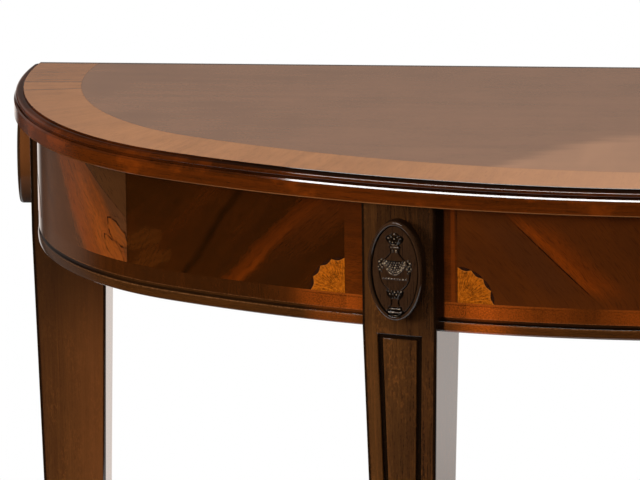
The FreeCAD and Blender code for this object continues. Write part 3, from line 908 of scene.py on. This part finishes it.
# Greyer at the far ends of the table: painted reflection.
colour = (reach.rise(0.49, 0.56) * 0.5).blend(colour, shade(58, 38, 26))
# Painted shade in the quirk above the bead, lighter in its upper half and along part of each side apron.
recess_shade = across.rise(bead_height - 0.0006, bead_height + 0.0001)
upper = across.rise(bead_height + 0.0012, bead_height + 0.0026)
lighter_quirk = reach.rise(0.235, 0.26) * reach.rise(0.55, 0.48)
recess_shade = recess_shade * (0.95 - upper * 0.3) * (1 - lighter_quirk * (0.3 + upper * 0.45))
colour = recess_shade.blend(colour, shade(14, 6, 3))
# Painted shadow of the legs on the ends of the middle apron.
colour = painted_leg_shadow(along).blend(colour, painted_shadow_tone)
lacquer(wire, colour, 0.38 + pore * 0.2, 1 - pore)

for apron in apron_turns:
    last = apron_length(apron) - leg_side
    grid, grain = strip(apron, leg_side, last, bead_profile())
    name = f"bottom_bead_{apron}"
    mesh = shell(name, grid, grain + [leaf_start[apron], -apron_low])
    glow_rows = painted_light(apron, len(grid), leg_side, last)
    mark(mesh, "painted_light", np.repeat(glow_rows, grid.shape[1]))
    fit(name, mesh, bead_finish, "bead_mahogany", f"apron_{apron}_bead")


# Core of the top: the half-round board that carries the veneers, stained a plain brown and left without
# polish on its underside and along the straight back edge.

core_finish, wire = new_finish("core_wood")
along, across, height = in_space(wire)
streak = wire.noise(along * 2.5, across * 90, height * 90, 5, 0.6)
fleck = wire.noise(along * 60, across * 1200, height * 1200, 1).rise(0.44, 0.34)
board = wire.maths("FLOOR", across * 7 + 0.3) * 0.37
tone = streak.rise(0.3, 0.7) * 0.7 + wire.maths("FRACT", board + 0.2) * 0.3
colour = (fleck * 0.4).blend(tone.blend(shade(104, 66, 40), shade(150, 102, 64)), shade(60, 36, 22))
bare_wood(wire, colour, 0.6 + fleck * 0.15, streak - fleck * 0.5, strength=0.3, depth=0.0003)
refinish("top_core", core_finish)


# Moulded edge of the top: one bent length of mahogany glued round the core, with a small step, a thumb
# mould, a quirk and a plain band that ends in an eased arris. Painted shade darkens the step and quirk.

edge_width = 0.009
edge_land = 0.0006
land_ease = 0.0003
step_drop = 0.0014
step_width = 0.0016
thumb_height = 0.0036
nose_inset = 0.0015
nose_drop = 0.0014
edge_quirk_depth = 0.002
edge_quirk_height = 0.0018
edge_band_bevel = 0.0012
edge_arris = 0.0008
edge_steps = 361
square_from = math.radians(75)
edge_band_top = table_height - step_drop - thumb_height - nose_drop - edge_quirk_height


def edge_profile():
    """Land, step, a quarter ellipse down to the nose, a small quarter ellipse back into the quirk, then the
    plain band with a bevel on its upper corner and an eased arris below, as (inset, height) points."""
    land = edge_width - edge_land
    step_z = table_height - step_drop
    nose_z = step_z - thumb_height
    thumb_width = land - step_width - nose_inset
    thumb = np.linspace(0, math.pi / 2, 15)
    under = np.linspace(0, math.pi / 2, 6)[1:]
    top = [(edge_width, table_height), (land + land_ease, table_height),
           (land, table_height - land_ease), (land, step_z)]
    thumb_inset = nose_inset + thumb_width * (1 - np.sin(thumb))
    thumb_z = step_z - thumb_height * (1 - np.cos(thumb))
    under_inset = nose_inset + edge_quirk_depth * (1 - np.cos(under))
    under_z = nose_z - nose_drop * np.sin(under)
    band = [(nose_inset + edge_quirk_depth, edge_band_top), (edge_band_bevel, edge_band_top),
            (0.0, edge_band_top - edge_band_bevel), (0.0, underside + edge_arris),
            (edge_arris, underside), (edge_width, underside)]
    return np.concatenate([
        top, np.stack([thumb_inset, thumb_z], -1), np.stack([under_inset, under_z], -1), band])


def back_turn(inset):
    """Turn at which the line `inset` inside the edge meets the straight back."""
    return math.pi / 2 + np.arcsin(widest_setback / (end_radius - inset))


def whole_way(profile, turns, square_to):
    """Profile carried along turns of the plan. Past the turn `square_to`, on either side, every point's
    turn is scaled more and more, so that at the end the whole profile lies on the straight back."""
    scale = back_turn(profile[:, 0]) / back_turn(0.0)
    late = np.clip((np.abs(turns) - square_to) / (back_turn(0.0) - square_to), 0, 1)
    return carried(profile, turns[:, None] * (1 + (scale[None] - 1) * late[:, None]))


edge_finish, wire = new_finish("edge_mahogany")
along, height = on_grain(wire)
colour, pore = mahogany(
    wire, along, height, 15.0, shade(36, 14, 2), shade(56, 23, 3), shade(88, 36, 5), 0.005)
glow = wire.noise(along * 20, height * 28, 3.0, 5, 0.65).rise(0.50, 0.64)
colour = (glow * 0.34).blend(colour, shade(128, 54, 9))
edge_turns, edge_lengths = run(back_turn(0.0), -back_turn(0.0), 0.0)
# Towards the front the moulding above the band is darker, its painted shade deeper and its painted
# highlight stronger.
front = abs(along - edge_lengths[-1] / 2).rise(0.50, 0.36)
over_band = height - (edge_band_top - underside)
above = over_band.rise(-0.0020, -0.0012)
colour = (above * (0.40 + front * 0.10)).blend(colour, shade(24, 10, 4))
# Painted shade in the quirk and in the step at the top of the moulding.
quirk = over_band.rise(-0.0002, 0.0002) * (over_band - edge_quirk_height).rise(0.0012, 0.0)
step = (height - (table_height - underside)).rise(-step_drop - 0.0014, -step_drop - 0.0004)
recess_shade = quirk * (0.15 + front * 0.45) + step * (0.45 + front * 0.45)
colour = recess_shade.blend(colour, shade(10, 5, 2))
# Pale line along the bottom arris, where the polish is rubbed thin: painted highlight over the rubbing.
highlight_and_rub = height.rise(0.0014, 0.0007)
colour = (highlight_and_rub * (0.18 + front * 0.34)).blend(colour, shade(150, 98, 56))
lacquer(wire, colour, 0.36 + pore * 0.2, 1 - pore, coat=0.07, polish=1 - highlight_and_rub * 0.85 - step * 0.6)

profile = edge_profile()
lengths = np.linspace(0, edge_lengths[-1], edge_steps)
grid = whole_way(profile, np.interp(lengths, edge_lengths, edge_turns), square_from)
mesh = shell("moulded_edge", grid, paired(lengths, closed(profile[:, 1]) - underside), sharp=28)
fit("moulded_edge", mesh, edge_finish, "edge_mahogany", "top_edge_moulding")


# Crossbanding: seven lengths of mahogany veneer round the top, with their grain across the band: three long
# ones at the front and, at each end, a patch and the piece that meets the wall. Tone and streaks change
# from piece to piece, and the joints of the short ones show as dark lines.

crossband_width = 0.052
crossband_end_length = 0.070
crossband_patch_length = 0.028
crossband_long_pieces = 3
crossband_steps = 81
crossband_inner = edge_width + crossband_width
core_top = table_height - veneer
leaf_gap = 0.61
dull_brown = shade(112, 70, 42)
back_arris = 0.0046


def stained_back(y, colour):
    """Colour with dark stain over it along the arris at the straight back."""
    back_edge = y.rise(back_y - back_arris, back_y - back_arris * 0.6)
    return (back_edge * 0.85).blend(colour, shade(30, 19, 13))


crossband_finish, wire = new_finish("top_banding")
across, along = on_grain(wire)
colour, pore = mahogany(
    wire, along * 1.5, across, 18.0, shade(112, 68, 32), shade(144, 90, 42), shade(174, 112, 58), 0.010)
leaf = wire.noise(across * 30, along * 24, 41.0, 3).rise(0.3, 0.7)
colour = (leaf * 0.3).blend(colour, shade(180, 118, 68))
x, y, _ = in_space(wire)
# Lighter towards the middle of the front and darker at the ends: partly the wood's own tone and partly
# painted reflection.
colour = (abs(x).rise(0.40, 0.0) ** 1.6 * 0.5).blend(colour, shade(206, 150, 110))
colour = (abs(x).rise(0.50, 0.58) * 0.22).blend(colour, dull_brown)
pale = marked(wire, "pale")
colour = ((1 - pale) * 0.4).blend(colour, dull_brown)
wavy = across + (wire.noise(across * 40, along * 30, 47.0, 2) - 0.5) * 0.012
flamed = wire.noise(wavy * 190, along * 22, 45.0, 4, 0.6).rise(0.5, 0.7)
colour = (flamed * pale.rise(0.9, 0.1) * 0.55).blend(colour, shade(96, 60, 34))
rim = along.rise(crossband_width - 0.0011, crossband_width - 0.0004)
colour = (rim * 0.45).blend(colour, shade(84, 50, 26))
ragged = wire.noise(across * 300, along * 130, 43.0, 2)
joint = (marked(wire, "joint") + ragged * 0.0016).rise(0.0030, 0.0012)
colour = (joint * 0.6).blend(colour, shade(66, 40, 22))
lacquer(wire, stained_back(y, colour), 0.38 + pore * 0.15, 1 - pore, depth=0.0001)

profile = np.array([
    (edge_width, table_height), (edge_width, core_top),
    (crossband_inner, core_top), (crossband_inner, table_height)])
banding_turns, banding_lengths = run(back_turn(edge_width), -back_turn(edge_width), edge_width)
end_pieces = [crossband_end_length, crossband_patch_length]
long_length = (banding_lengths[-1] - 2 * sum(end_pieces)) / crossband_long_pieces
joints = np.cumsum([0] + end_pieces + [long_length] * crossband_long_pieces + end_pieces[::-1])
joint_turns = np.interp(joints, banding_lengths, banding_turns)
joint_turns[[0, -1]] = back_turn(0.0), -back_turn(0.0)
piece_tones = (0.1, 0.75, 0.85, 0.85, 0.85, 0.75, 0.1)
shown_joints = joints[[1, 2, -3, -2]]
for index, tone in enumerate(piece_tones):
    turns = np.linspace(joint_turns[index], joint_turns[index + 1], crossband_steps)
    lengths = np.linspace(joints[index], joints[index + 1], crossband_steps)
    lengths[1:-1] = np.interp(-turns[1:-1], -banding_turns, banding_lengths)
    grid = whole_way(profile, turns, joint_turns[1])
    grain = paired(lengths + index * leaf_gap, closed(profile[:, 0]) - edge_width)
    name = f"crossband_{index + 1}"
    mesh = shell(name, grid, grain)
    mark(mesh, "pale", np.full(grid.shape[:2], tone))
    mark(mesh, "joint", np.repeat(np.abs(lengths[:, None] - shown_joints).min(1), len(profile)))
    fit(name, mesh, crossband_finish, "top_banding", f"top_crossband_{index + 1}")


# Field of the top: one wide leaf of figured mahogany with its grain along the wall, and a paler flame that
# swells from the middle of the front in tongues. It is glued to the core, polished level with the banding,
# and stained dark along its arris at the back.

field_finish, wire = new_finish("top_field")
x, y, _ = in_space(wire)
bend = wire.noise(x * 3, y * 5, 2.0, 2) - 0.5
colour, pore = mahogany(
    wire, x, y + bend * 0.03, 24.0, shade(96, 63, 40), shade(107, 72, 47), shade(125, 85, 58), 0.016)
ripple = wire.noise(x * 28, y * 7, 5.0, 2).rise(0.3, 0.7)
colour = (ripple * 0.12).blend(colour, shade(146, 102, 70))
drift = wire.noise((x + y * 1.6) * 7, (y - x * 0.3) * 16, 8.0, 3).rise(0.35, 0.65)
colour = (drift * 0.22).blend(colour, shade(142, 97, 68))
tongue = wire.noise(x * 11, y * 60, 11.0, 3) - 0.5
arch = (y + x * x * 4.3 + 0.014 + bend * 0.04 + tongue * 0.05).rise(0.014, -0.022)
# Lighter towards the middle of the front: painted reflection.
colour = (abs(x).rise(0.52, 0.08) * 0.2).blend(colour, shade(150, 108, 80))
colour = (arch * (0.5 + ripple * 0.15)).blend(colour, shade(176, 126, 90))
lacquer(wire, stained_back(y, colour), 0.38 + pore * 0.15, 1 - pore, depth=0.0001)
refinish("top_field_veneer", field_finish)


# Floor: a round sheet of matt white board under the table. It takes the table's shadow, and light of its
# own in the camera's view, stronger towards the edge, keeps it as white as the backdrop.

floor_radius = 1.15
floor_middle = 0.05
floor_drop = 0.0005
floor_thickness = 0.004


def floor_mesh():
    """Flat disc: rings of points at shares of the radius, round the middle."""
    share = np.linspace(0.002, 1, 12)[:, None]
    angle = np.linspace(0, 2 * math.pi, 96, endpoint=False)[None]
    x = floor_radius * share * np.cos(angle)
    y = floor_middle + floor_radius * share * np.sin(angle)
    grid = np.stack(np.broadcast_arrays(x, y, -floor_drop), -1)
    grid = np.concatenate([grid, grid[-1:] - [0, 0, floor_thickness]])
    return shell("floor", grid, closed(grid[..., :2], 1))


floor_finish, wire = new_finish("white_board")
seen = wire.node("LightPath")
x, y, _ = in_space(wire)
tooth = wire.noise(x, y, 1.0)
reach = wire.maths("SQRT", x * x + (y - floor_middle) * (y - floor_middle))
own_light = reach.rise(floor_radius * 0.6, floor_radius * 0.97).blend((0.45, 0.45, 0.45, 1), (1, 1, 1, 1))
board = wire.node("BsdfPrincipled", {}, {
    "Base Color": shade(240, 240, 240), "Roughness": 0.8 + tooth * 0.1, "Specular IOR Level": 0.1})
shown = seen + seen.other("Is Glossy Ray") + seen.other("Is Transmission Ray")
glow = wire.node("Emission", {}, {"Color": own_light, "Strength": shown})
wire.node("OutputMaterial", {}, {"Surface": wire.node("AddShader", {}, {0: board, 1: glow})})
floor = bpy.data.objects.new("floor", floor_mesh())
floor.data.materials.append(floor_finish)
bpy.context.scene.collection.objects.link(floor)


# Studio: a white backdrop in the camera's view and a dark room in front and to the left. A long narrow lamp
# overhead draws bright lines on the moulded edge, one low on the left gives the carving its shadows, and
# soft ones stand in front and behind on the right.

world = bpy.data.worlds.new("studio")
world.use_nodes = True
world.node_tree.nodes.clear()
wire = Wire(world.node_tree)
way = wire.node("SeparateXYZ", {}, {0: wire.node("TexCoord", {}, {}, 0)})
right, back, up = way, way.other(1), way.other(2)
white_card = up.rise(-0.36, -0.31) * up.rise(0.2, -0.1) * right.rise(-0.44, -0.22) * back.rise(0.2, 0.6)
white_card = white_card * (1 + right.rise(0.2, 0.45) * 0.4)
far_wall = up.rise(0.05, 0.2) * up.rise(0.55, 0.4) * back.rise(0.3, 0.7)
left_wall = right.rise(-0.5, -0.64) * back.rise(0.1, 0.35) * up.rise(0.05, -0.1)
mirrored = 0.006 + back.rise(-0.1, 0.5) * 0.05 + far_wall * 0.30 + left_wall * 0.08 + white_card
path = wire.node("LightPath")
camera_ray, glossy_ray, clear_ray = path, path.other("Is Glossy Ray"), path.other("Is Transmission Ray")
shown = camera_ray + glossy_ray * mirrored + clear_ray
unseen = 1 - wire.maths("MINIMUM", camera_ray + glossy_ray + clear_ray, 1.0)
level = shown + unseen * (0.15 + back.rise(0.1, 0.7) * 0.3)
tint = glossy_ray.blend((1, 1, 1, 1), (1.0, 0.91, 0.85, 1))
sky = wire.node("Background", {}, {"Color": tint, "Strength": level})
wire.node("OutputWorld", {}, {"Surface": sky})
bpy.context.scene.world = world


def soft_lamp(name, place, aim, width, depth, watts, swing=0.0, mirrored=False):
    """Rectangular lamp at a place, turned to face a point, then swung about its own beam."""
    lamp = bpy.data.lights.new(name, "AREA")
    lamp.shape = "RECTANGLE"
    lamp.size = width
    lamp.size_y = depth
    lamp.energy = watts
    made = bpy.data.objects.new(name, lamp)
    beam = (Vector(aim) - Vector(place)).to_track_quat("-Z", "Y").to_matrix().to_4x4()
    made.matrix_world = Matrix.Translation(place) @ beam @ Matrix.Rotation(math.radians(swing), 4, "Z")
    made.visible_camera = False
    made.visible_glossy = mirrored
    bpy.context.scene.collection.objects.link(made)


soft_lamp("overhead_strip", (-0.55, -0.768, 3.0), (-0.55, -0.767, 0.0), 2.0, 0.24,
          watts=41, swing=-14, mirrored=True)
soft_lamp("left_lamp", (-3.65, -1.99, 1.53), (-0.2, -0.15, 0.70), 0.9, 0.9, watts=125)
soft_lamp("front_lamp", (-1.1, -3.5, 2.7), (-0.2, -0.1, 0.70), 1.5, 1.5, watts=55)
soft_lamp("right_lamp", (3.2, 1.9, 1.3), (0.2, 0.0, 0.60), 1.2, 1.2, watts=70)


# Camera: a long lens well above the table and a little to its right. Its place, turn and roll were fitted
# to the outline of the top, the legs and the frieze in the photograph.

camera_place = (0.226305, -6.743469, 2.654746)
camera_yaw = 0.08154
camera_pitch = 0.283386
camera_roll = 0.012131
focal_pixels = 7964.98
image_width = 640
sensor_width = 36
ahead = Vector((
    -math.sin(camera_yaw) * math.cos(camera_pitch),
    math.cos(camera_yaw) * math.cos(camera_pitch),
    -math.sin(camera_pitch)))
level_right = Vector((math.cos(camera_yaw), math.sin(camera_yaw), 0))
level_down = ahead.cross(level_right)
right = level_right * math.cos(camera_roll) + level_down * math.sin(camera_roll)
down = level_down * math.cos(camera_roll) - level_right * math.sin(camera_roll)
lens = bpy.data.cameras.new("camera")
lens.sensor_width = sensor_width
lens.lens = focal_pixels * sensor_width / image_width
camera = bpy.data.objects.new("camera", lens)
camera_turn = Matrix((right, -down, -ahead)).transposed().to_4x4()
camera.matrix_world = Matrix.Translation(camera_place) @ camera_turn
bpy.context.scene.collection.objects.link(camera)
bpy.context.scene.camera = camera
bpy.context.scene.view_settings.view_transform = "Standard"
